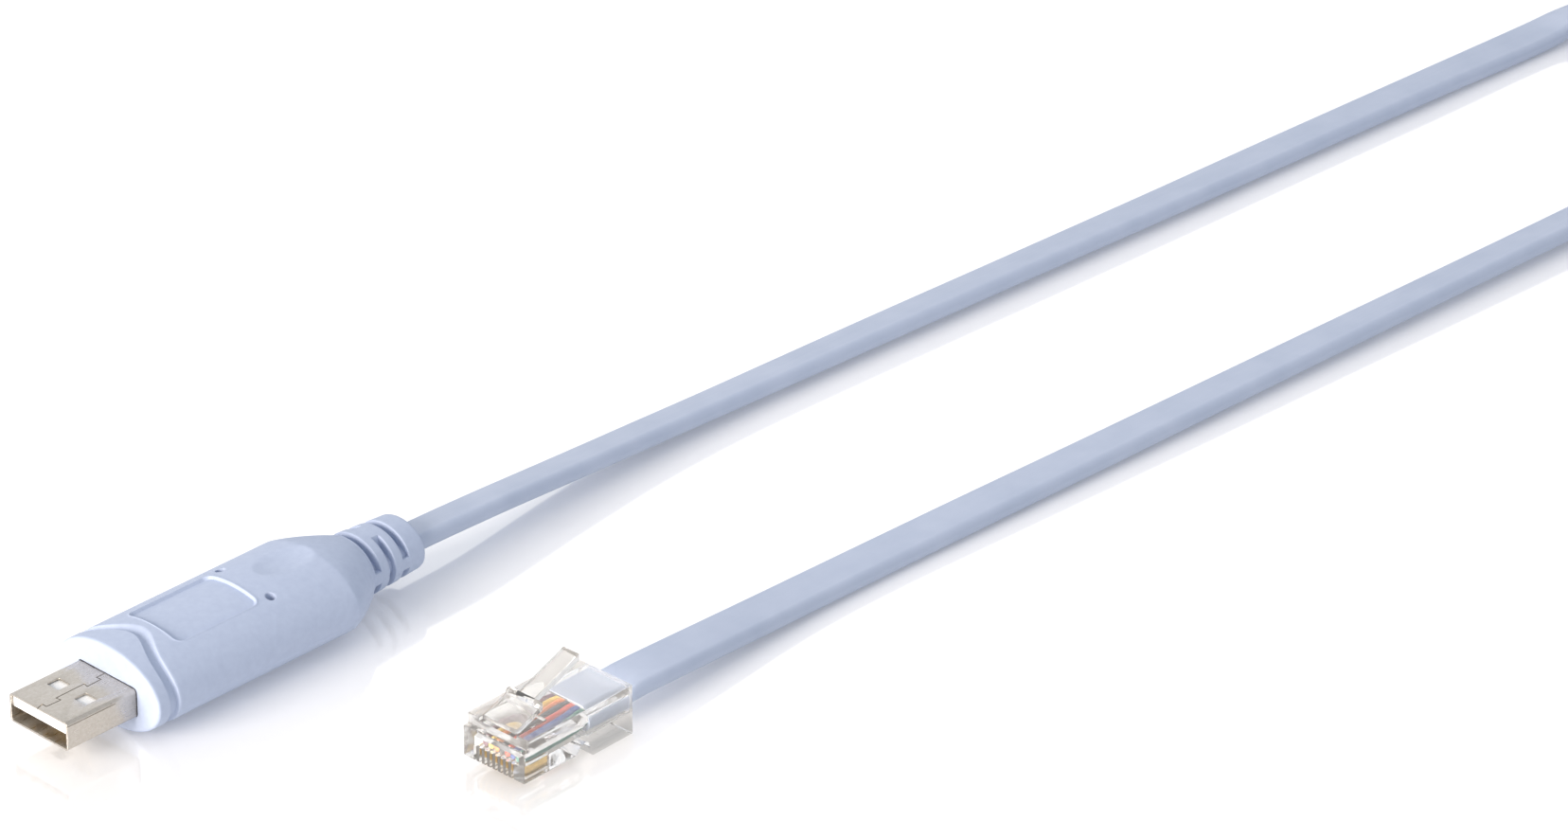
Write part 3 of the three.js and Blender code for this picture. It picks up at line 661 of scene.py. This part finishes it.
def housing_point(s, angle):
    """A point of the housing's outside, at s behind its front."""
    fillet = FRONT_FILLET - math.sqrt(max(0, FRONT_FILLET**2 - max(0, FRONT_FILLET - s) ** 2))
    taper = max(0.0, (s - (HOUSING_LENGTH - TAPER)) / TAPER)
    swell = max(0.0, 1 - min(1, taper) ** TAPER_POWER) ** (1 / TAPER_POWER)
    width = RELIEF_ROOT[0] + (HOUSING_WIDTH - RELIEF_ROOT[0]) * swell - 2 * fillet
    height = RELIEF_ROOT[1] + (HOUSING_HEIGHT - RELIEF_ROOT[1]) * swell - 2 * fillet
    y, z = oval(width, height, angle)
    inset = groove_inset(s, y)
    if z > 0:
        inset += label_inset(s, y)
    if inset:
        y, z = oval(width - 2 * inset, height - 2 * inset, angle)
    if z > 0:
        z = min(z, dimple_floor(s, y)) - hole_depth(s, y)
    z = max(z, REST_DEPTH - HOUSING_HEIGHT / 2)
    return Vector((HOUSING_FRONT + s + groove_shift(s, y), y, z))


def relief_point(s, inset, cut, angle):
    """A point of the strain relief, s behind its root. cut is 0 outside and 1 on its core."""
    share = s / (RELIEF_END - HOUSING_REAR)
    width = RELIEF_ROOT[0] + (RELIEF_TIP[0] - RELIEF_ROOT[0]) * share - 2 * inset
    height = RELIEF_ROOT[1] + (RELIEF_TIP[1] - RELIEF_ROOT[1]) * share - 2 * inset
    y, z = oval(width, height, angle)
    core_y, core_z = oval(CORE_WIDTH, CORE_HEIGHT, angle, CORE_POWER)
    near_gate = math.hypot(HOUSING_REAR + s - GATE_X, z + HOUSING_AXIS - GATE_HEIGHT)
    if y < 0 and cut == 0:
        y -= GATE_DEPTH * (1 - smoothstep(0.15, 0.42, near_gate))
    return Vector((HOUSING_REAR + s, y + (core_y - y) * cut, z + (core_z - z) * cut))


def slot_share(row, angle, width, height):
    """1 where a slot is cut, 0 on its bridges: at the sides in even rows, else above and below."""
    y, z = oval(width, height, angle)
    if row % 2 == 0:
        return smoothstep(SIDE_BRIDGE / 2 - 0.06, SIDE_BRIDGE / 2 + 0.1, abs(z))
    return smoothstep(TOP_BRIDGE / 2 - 0.06, TOP_BRIDGE / 2 + 0.1, abs(y))


def relief_rings(angles):
    """Rings along the strain relief, with the slots' rounded edges and steep walls."""
    rings = []
    length = RELIEF_END - HOUSING_REAR
    edge = (
        (-0.16, 0.0, 0.0), (-0.09, 0.02, 0.0), (-0.03, 0.07, 0.0), (0.0, 0.14, 0.0),
        (0.02, 0.0, 1.0),
    )
    last = 0.0
    for row in range(3):
        start = FIRST_SLOT + row * SLOT_PITCH - SLOT_WIDTH / 2
        end = start + SLOT_WIDTH
        plan = [(start + off, inset, cut) for off, inset, cut in edge]
        plan += [((start + end) / 2, 0.0, 1.0)]
        plan += [(end - off, inset, cut) for off, inset, cut in reversed(edge)]
        for between in spaced([(last, 0.4), (plan[0][0], 0.3)])[1:-1]:
            rings.append([relief_point(between, 0, 0, a) for a in angles])
        for s, inset, cut in plan:
            ring = []
            for a in angles:
                share = slot_share(row, a, *RELIEF_TIP)
                ring.append(relief_point(s, inset * share, cut * share, a))
            rings.append(ring)
        last = plan[-1][0]
    for s in spaced([(last, 0.3), (length - RELIEF_EDGE, 0.25)])[1:]:
        rings.append([relief_point(s, 0, 0, a) for a in angles])
    for i in range(1, 6):
        turn = math.pi / 2 * i / 5
        inset = RELIEF_EDGE * (1 - math.cos(turn))
        s = length - RELIEF_EDGE + RELIEF_EDGE * math.sin(turn)
        rings.append([relief_point(s, inset, 0, a) for a in angles])
    return rings


def rectangle_at(width, height, radius, angle):
    """The point of a rounded rectangle in the direction of an angle."""
    direction = Vector((math.cos(angle) * width, math.sin(angle) * height)).normalized()
    corner = Vector((width / 2 - radius, height / 2 - radius))
    reach = min(
        (width / 2) / max(abs(direction.x), 1e-9), (height / 2) / max(abs(direction.y), 1e-9)
    )
    point = direction * reach
    if abs(point.x) > corner.x and abs(point.y) > corner.y:
        centre = Vector((math.copysign(corner.x, point.x), math.copysign(corner.y, point.y)))
        b = direction.dot(centre)
        point = direction * (b + math.sqrt(max(0, b * b - centre.length_squared + radius**2)))
    return point


def make_housing():
    """One skin, from the mouth for the shell, round the outside, to the mouth for the lead."""
    angles = round_angles()
    drop = SHELL_AXIS - HOUSING_AXIS
    mouth_size = (SHELL_WIDTH + SHELL_PLAY, SHELL_HEIGHT + SHELL_PLAY, SHELL_RADIUS + 0.1)
    mouth = [rectangle_at(*mouth_size, a) for a in angles]
    rings = []
    for depth, grow in ((3.2, 0), (0.12, 0), (0.03, 0.03), (0.0, 0.12)):
        rings.append([
            Vector((HOUSING_FRONT + depth, p.x * (1 + grow / 6), p.y * (1 + grow / 2.3) + drop))
            for p in mouth
        ])
    face = [housing_point(0, a) for a in angles]
    for share in (0.25, 0.5, 0.75, 0.92):
        rings.append([m.lerp(f, share) for m, f in zip(rings[3], face)])
    stations = [FRONT_FILLET * (1 - math.cos(math.pi / 2 * i / 5)) for i in range(5)]
    stations += spaced([
        (0.5, 1), (2.08, 0.2), (2.3, 0.04), (2.95, 0.16), (3.95, 0.07), (8.3, 0.4), (8.72, 0.05),
        (9.75, 0.12), (22.45, 0.7), (23.45, 0.12), (23.8, 0.05), (24.9, 0.3), (25.1, 0.1),
        (26.7, 0.072), (27.9, 0.3), (38.5, 0.28), (44.0, 0.25), (44.9, 0.12), (44.995, 0.05),
    ])
    rings += [[housing_point(s, a) for a in angles] for s in stations]
    rings += relief_rings(angles)
    lead_mouth = []
    lead_mouth_size = (RIBBON_WIDTH + LEAD_PLAY, RIBBON_THICKNESS + LEAD_PLAY, RIBBON_RADIUS)
    tilt = Matrix.Rotation(math.radians(LEAD_ROLL), 2)
    for a in angles:
        p = tilt.inverted() @ rectangle_at(*lead_mouth_size, a)
        lead_mouth.append(Vector((RELIEF_END, p.x, p.y + LEAD_AXIS - HOUSING_AXIS)))
    outer = rings[-1]
    for share in (0.5, 0.9, 1.0):
        rings.append([p.lerp(m, share) for p, m in zip(outer, lead_mouth)])
    rings.append([m - Vector((1.2, 0, 0)) for m in lead_mouth])
    for ring in rings:
        for p in ring:
            p.z += HOUSING_AXIS
    return new_piece("converter_housing", skin(rings), tpe, 38)


housing = make_housing()


# USB plug
SEAM = [
    (-34.3, 0.0), (-33.9, 0.1), (-33.07, 0.33), (-33.12, -0.53), (-30.56, -0.61), (-30.7, 0.23),
    (-25.52, 0.33), (-25.67, -0.53), (-23.09, -0.42), (-23.17, 0.4), (-21.77, 0.38),
]
WINDOW_LENGTH, WINDOW_WIDTH, WINDOW_SPACING, WINDOW_SETBACK = 2.2, 2.5, 5.7, 5.1
INNER_CONTACT, OUTER_CONTACT = 1.0, 3.5
TONGUE_TOP, TONGUE_THICKNESS = SHELL_HEIGHT / 2 - SHELL_WALL - 0.12, 1.65


def bar(outline, start, end):
    """A bar along X with its section given as places across and heights."""
    return skin([[(start, y, z) for y, z in outline], [(end, y, z) for y, z in outline]])


def hairline(points, width):
    """A thin strip along a line in plan, for a seam."""
    left, right = [], []
    for i, (x, y) in enumerate(points):
        before = Vector(points[i]) - Vector(points[max(0, i - 1)])
        after = Vector(points[min(len(points) - 1, i + 1)]) - Vector(points[i])
        a = before.normalized() if before.length else after.normalized()
        b = after.normalized() if after.length else before.normalized()
        middle = (a + b).normalized() if (a + b).length > 1e-6 else a
        normal = Vector((-middle.y, middle.x)) * (width / 2 / max(0.35, middle.dot(a)))
        left.append((x + normal.x, y + normal.y))
        right.append((x - normal.x, y - normal.y))
    return left + right[::-1]


def make_shell():
    """Folded steel shell: two windows above and below, and the sheet's edges meeting on top."""
    rear = HOUSING_FRONT + 3.0
    outer = bar(rounded_rectangle(SHELL_WIDTH, SHELL_HEIGHT, SHELL_RADIUS, 6), SHELL_FRONT, rear)
    inner = bar(
        rounded_rectangle(SHELL_WIDTH - 0.6, SHELL_HEIGHT - 0.6, SHELL_RADIUS - SHELL_WALL, 6),
        SHELL_FRONT - 1,
        rear + 1,
    )
    mesh = combined(outer, [inner])
    front = SHELL_FRONT + WINDOW_SETBACK
    cutters = []
    for side in (-1, 1):
        plan = [
            (front + WINDOW_LENGTH / 2 + u, side * WINDOW_SPACING / 2 + v)
            for u, v in rounded_rectangle(WINDOW_LENGTH, WINDOW_WIDTH, 0.25, 3)
        ]
        cutters.append(prism(plan, -5, 5))
    mesh = combined(mesh, cutters)
    mesh = bevelled(mesh, 0.06, 2, 40)
    seam = prism(hairline(SEAM, 0.15), SHELL_HEIGHT / 2 - 0.2, 5)
    fold = block((SHELL_FRONT - 1, -7, 1.6), (SHELL_FRONT + 8.8, -SHELL_WIDTH / 2 + 0.12, 1.72))
    mesh = combined(mesh, [seam, fold])
    mesh.transform(Matrix.Translation((0, 0, SHELL_AXIS)))
    return new_piece("nickel_shell", mesh, steel, 30)


def make_tongue():
    """White insulator: the tongue, its rear block, and a channel for each contact."""
    half = SHELL_WIDTH / 2 - SHELL_WALL - 0.15
    top = TONGUE_TOP
    rear = HOUSING_FRONT + 2.8
    tongue = block((SHELL_FRONT + 0.35, -half, top - TONGUE_THICKNESS), (rear, half, top))
    block_behind = block((SHELL_FRONT + 8.6, -half, -top), (rear - 0.01, half, top - 0.01))
    mesh = combined(tongue, [block_behind], "UNION")
    channel = block((SHELL_FRONT + 1.0, -0.62, top - 1.9), (SHELL_FRONT + 8.2, 0.62, top - 1.42))
    cutters = []
    for y in (-OUTER_CONTACT, -INNER_CONTACT, INNER_CONTACT, OUTER_CONTACT):
        copy = channel.copy()
        copy.transform(Matrix.Translation((0, y, 0)))
        cutters.append(copy)
    mesh = bevelled(combined(mesh, cutters), 0.08, 2)
    mesh.transform(Matrix.Translation((0, 0, SHELL_AXIS)))
    return new_piece("white_insulator", mesh, insulator, 30)


def make_usb_contacts():
    """Four stamped springs under the tongue, each with a curved tip."""
    top = TONGUE_TOP - TONGUE_THICKNESS
    start = SHELL_FRONT + 1.3
    outline = []
    steps = 14
    for i in range(steps + 1):
        x = 6.6 * i / steps
        outline.append((start + x, top - 0.02 - 0.32 * math.exp(-(((x - 0.9) / 0.75) ** 2)) + 0.12))
    lower = [(x, z - 0.2) for x, z in outline]
    strip = bevelled(prism(outline + lower[::-1], -0.5, 0.5, across=True), 0.04, 1)
    outer_pair = row_of(strip, 2, (0, 2 * OUTER_CONTACT, 0), gold)
    outer_pair.transform(Matrix.Translation((0, -OUTER_CONTACT, SHELL_AXIS)))
    inner_pair = row_of(strip.copy(), 2, (0, 2 * INNER_CONTACT, 0), gold)
    inner_pair.transform(Matrix.Translation((0, -INNER_CONTACT, SHELL_AXIS)))
    return new_piece("usb_contacts", joined([outer_pair, inner_pair]), gold, 30)


shell = make_shell()
tongue = make_tongue()
usb_contacts = make_usb_contacts()


# Modular plug, made in its own place and then set down
def at_plug(mesh):
    """Sets a mesh of the plug down in its place in the frame."""
    mesh.transform(PLUG_PLACE)
    return mesh


BLADE_COUNT, BLADE_PITCH = 8, 1.02
LATCH_HALF_WIDTH, TAB_HALF_WIDTH = 3.25, 1.55
ROOM_HALF_WIDTH, ROOM_HALF_HEIGHT = 4.25, 0.62


def blade_place(index):
    """How far across from the middle a blade and its wire stand."""
    return (index - (BLADE_COUNT - 1) / 2) * BLADE_PITCH


def make_plug_body():
    """Clear body: nose step, blade slots, notch below, and rooms for the wires and the jacket."""
    side = [
        (0, 1.35), (10.4, 1.35), (11.3, 2.6), (12.6, 2.6), (13.5, 0), (PLUG_LENGTH, 0),
        (PLUG_LENGTH, PLUG_TOP), (0.9, PLUG_TOP), (0.9, 6.2), (0, 6.2),
    ]
    half = PLUG_WIDTH / 2
    mesh = bevelled(prism(side, -half, half, across=True), 0.22, 3, 25)
    room = [
        (y, z + LEAD_HEIGHT + 0.1)
        for y, z in rounded_rectangle(RIBBON_WIDTH + 0.5, RIBBON_THICKNESS + 0.5, 0.9, 4)
    ]
    jacket_room = bar(room, JACKET_SETBACK + 1.2, PLUG_LENGTH + 1)
    corners = ((1, -1), (1, 1), (-1, 1), (-1, -1))
    funnel = skin([
        [(x, s * half_width, LEAD_HEIGHT + t * half_height) for s, t in corners]
        for x, half_width, half_height in (
            (JACKET_SETBACK, ROOM_HALF_WIDTH, 0.7), (JACKET_SETBACK + 2, 4.0, 1.2),
        )
    ])
    wire_room = block(
        (1.2, -ROOM_HALF_WIDTH, LEAD_HEIGHT - ROOM_HALF_HEIGHT),
        (JACKET_SETBACK + 0.5, ROOM_HALF_WIDTH, LEAD_HEIGHT + ROOM_HALF_HEIGHT),
    )
    pocket = block((-1, -3.55, PLUG_TOP - POCKET_DEPTH), (6.8, 3.55, PLUG_TOP + 1))
    mesh = combined(mesh, [jacket_room, funnel, wire_room, pocket])
    slot = block((-1, -0.24, -1), (5.9, 0.24, LEAD_HEIGHT - 0.3))
    slots = row_of(slot, BLADE_COUNT, (0, BLADE_PITCH, 0), polycarbonate)
    slots.transform(Matrix.Translation((0, blade_place(0), 0)))
    mesh = combined(mesh, [slots])
    return new_piece("clear_plug_body", at_plug(mesh), polycarbonate, 25)


def make_blades():
    """Eight gold-plated blades in their slots."""
    profile = [
        (0.7, 2.3), (0.85, 1.95), (1.3, 1.7), (5.7, 1.7), (5.7, 3.45), (4.9, 3.45), (4.6, 3.1),
        (2.4, 3.1), (2.1, 3.45), (0.7, 3.45),
    ]
    blade = bevelled(prism(profile, -0.15, 0.15, across=True), 0.04, 1)
    row = row_of(blade, BLADE_COUNT, (0, BLADE_PITCH, 0), gold)
    row.transform(Matrix.Translation((0, blade_place(0), 0)))
    return new_piece("contact_blades", at_plug(row), gold, 30)


def make_latch():
    """The latch, raised as moulded: a wide root with shoulders and a thin thumb tab."""
    slope = math.tan(math.radians(LATCH_ANGLE))
    bottom = PLUG_TOP - POCKET_DEPTH + LATCH_GAP

    def rise(x):
        return bottom + (x - 2.0) * slope

    wide = prism([
        (1.2, bottom), (2.0, bottom), (6.5, rise(6.5)), (6.5, rise(6.5) + 1.3),
        (5.95, rise(5.95) + 1.35), (5.6, rise(5.6) + 0.8), (2.0, bottom + 0.85),
        (1.2, bottom + 0.75),
    ], -LATCH_HALF_WIDTH, LATCH_HALF_WIDTH, across=True)
    tab = prism([
        (5.8, rise(5.8)), (15.5, rise(15.5)), (15.5, rise(15.5) + 1.1), (5.8, rise(5.8) + 1.1),
    ], -TAB_HALF_WIDTH, TAB_HALF_WIDTH, across=True)
    mesh = bevelled(combined(wide, [tab], "UNION"), 0.13, 3, 25)
    return new_piece("clear_latch", at_plug(mesh), polycarbonate, 25)


WIRES = {
    "green": ("#0f5f57", "#1d7468"),
    "blue": ("#22397f", "#30509a"),
    "red": ("#c03426", "#d2553d"),
    "black": ("#1d1f24", "#34373e"),
    "orange": ("#cf6a24", "#dd8a45"),
    "yellow": ("#d0ab3a", "#dcc163"),
    "brown": ("#563244", "#6f4a58"),
    "white": ("#bfc2c8", "#d6d8dc"),
}


def make_wires():
    """The eight conductors, fanned a little from the jacket's end and led down over the blades."""
    wires = []
    for index, (name, (colour, pale)) in enumerate(WIRES.items()):
        y = blade_place(index)
        sway = 0.06 * math.sin(2.4 * index + 1)
        points = [
            (14.4, y * 0.86, LEAD_HEIGHT + 0.15),
            (13.4, y * 0.88, LEAD_HEIGHT + 0.16),
            (11.8, y * 0.97, LEAD_HEIGHT + 0.1 + sway),
            (9.0, y + sway * 0.5, LEAD_HEIGHT + 0.04),
            (6.0, y, LEAD_HEIGHT),
            (1.6, y, LEAD_HEIGHT),
        ]
        material = make_material(
            f"{name}_insulation", colour, 0.3, [INSULATION], (colour, pale), IOR=1.5
        )
        mesh = wire_along(smooth_path(points, 0.4), 0.45, material)
        wires.append(new_piece(f"wire_{name}", at_plug(mesh), material, 50))
    return wires


plug_body = make_plug_body()
blades = make_blades()
latch = make_latch()
# Light goes through the clear plastic to the wires, the jacket and the floor
plug_body.visible_shadow = False
latch.visible_shadow = False
wires = make_wires()


# Tie round the coil
def make_tie():
    """A woven strap closed round all the turns."""
    inner = COIL_RADIUS - COIL_TURNS * COIL_PITCH - RIBBON_THICKNESS / 2
    outer = COIL_RADIUS + RIBBON_THICKNESS / 2
    middle, half_span = (inner + outer) / 2, (outer - inner) / 2 + 0.3
    low, high = 0.4, RIBBON_WIDTH + 0.9
    loop = rounded_rectangle(2 * half_span + 0.8, high - low, 1.2, 6)
    edges = ((-4.0, 0.08), (-3.9, 0.0), (3.9, 0.0), (4.0, 0.08))
    sides = [(y, 1 + (0.4 - inset) / half_span) for y, inset in edges]
    sides += [(y, 1 - (0.4 - inset) / half_span) for y, inset in reversed(edges)]
    rings = [
        [(middle + u * grow, y, (low + high) / 2 + v * grow) for u, v in loop]
        for y, grow in sides
    ]
    mesh = skin([*rings, rings[0]], False, False)
    mesh.transform(
        Matrix.Translation((COIL_CENTRE.x, COIL_CENTRE.y, 0)) @ Matrix.Rotation(TIE_ANGLE, 4, "Z")
    )
    return new_piece("coil_strap", mesh, nylon, 40)


tie = make_tie()


# What each piece rides on and replaces
def settle(piece, body, replaced):
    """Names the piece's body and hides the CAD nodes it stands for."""
    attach(piece, body)
    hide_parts(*replaced)


settle(shell, "cable", ["usb_shell"])
settle(tongue, "cable", ["usb_tongue"])
settle(usb_contacts, "cable", [f"usb_contact_{i}" for i in range(1, 5)])
settle(housing, "cable", ["overmould"])
settle(flat_lead, "cable", ["cord_usb_run", "cord_rj45_run", "cord_coil"])
settle(tie, "cable", ["coil_tie"])
settle(plug_body, "cable", ["rj45_body"])
settle(blades, "cable", [f"rj45_contact_{i}" for i in range(1, 9)])
settle(latch, "latch", ["rj45_latch"])
for number, (name, wire) in enumerate(zip(WIRES, wires), 1):
    settle(wire, "cable", [f"conductor_{number}"])


# Floor and light
def make_floor():
    """White acrylic sheet: bright, with a faint gloss that mirrors the object softly."""
    material = make_material(
        "white_acrylic", "#f8f8f9", 0.08, Metallic=0.24,
        Emission_Color=linear("#ffffff"), Emission_Strength=0.12,
    )
    mesh = bpy.data.meshes.new("floor")
    mesh.from_pydata([(-6, -6, 0), (6, -6, 0), (6, 6, 0), (-6, 6, 0)], [], [(0, 1, 2, 3)])
    mesh.materials.append(material)
    floor = bpy.data.objects.new("floor", mesh)
    scene.collection.objects.link(floor)


def add_light(name, place, aim, size, energy, colour="#ffffff"):
    """A square soft box that faces a point."""
    data = bpy.data.lights.new(name, "AREA")
    data.shape, data.size, data.energy = "SQUARE", size, energy
    data.color = linear(colour)[:3]
    light = bpy.data.objects.new(name, data)
    light.location = place
    light.rotation_euler = (Vector(aim) - Vector(place)).to_track_quat("-Z", "Y").to_euler()
    scene.collection.objects.link(light)


make_floor()
world = bpy.data.worlds.new("studio")
world.use_nodes = True
world.node_tree.nodes["Background"].inputs["Color"].default_value = linear("#f4f6fa")
world.node_tree.nodes["Background"].inputs["Strength"].default_value = 0.8
scene.world = world
scene.view_settings.view_transform = "Standard"
add_light("front_box", (-0.95, 0.05, 0.32), (-0.02, 0, 0), 0.55, 15.5, "#fff4e8")
add_light("back_box", (1.75, 1.65, 1.3), (0.1, -0.02, 0), 2.4, 6.5)
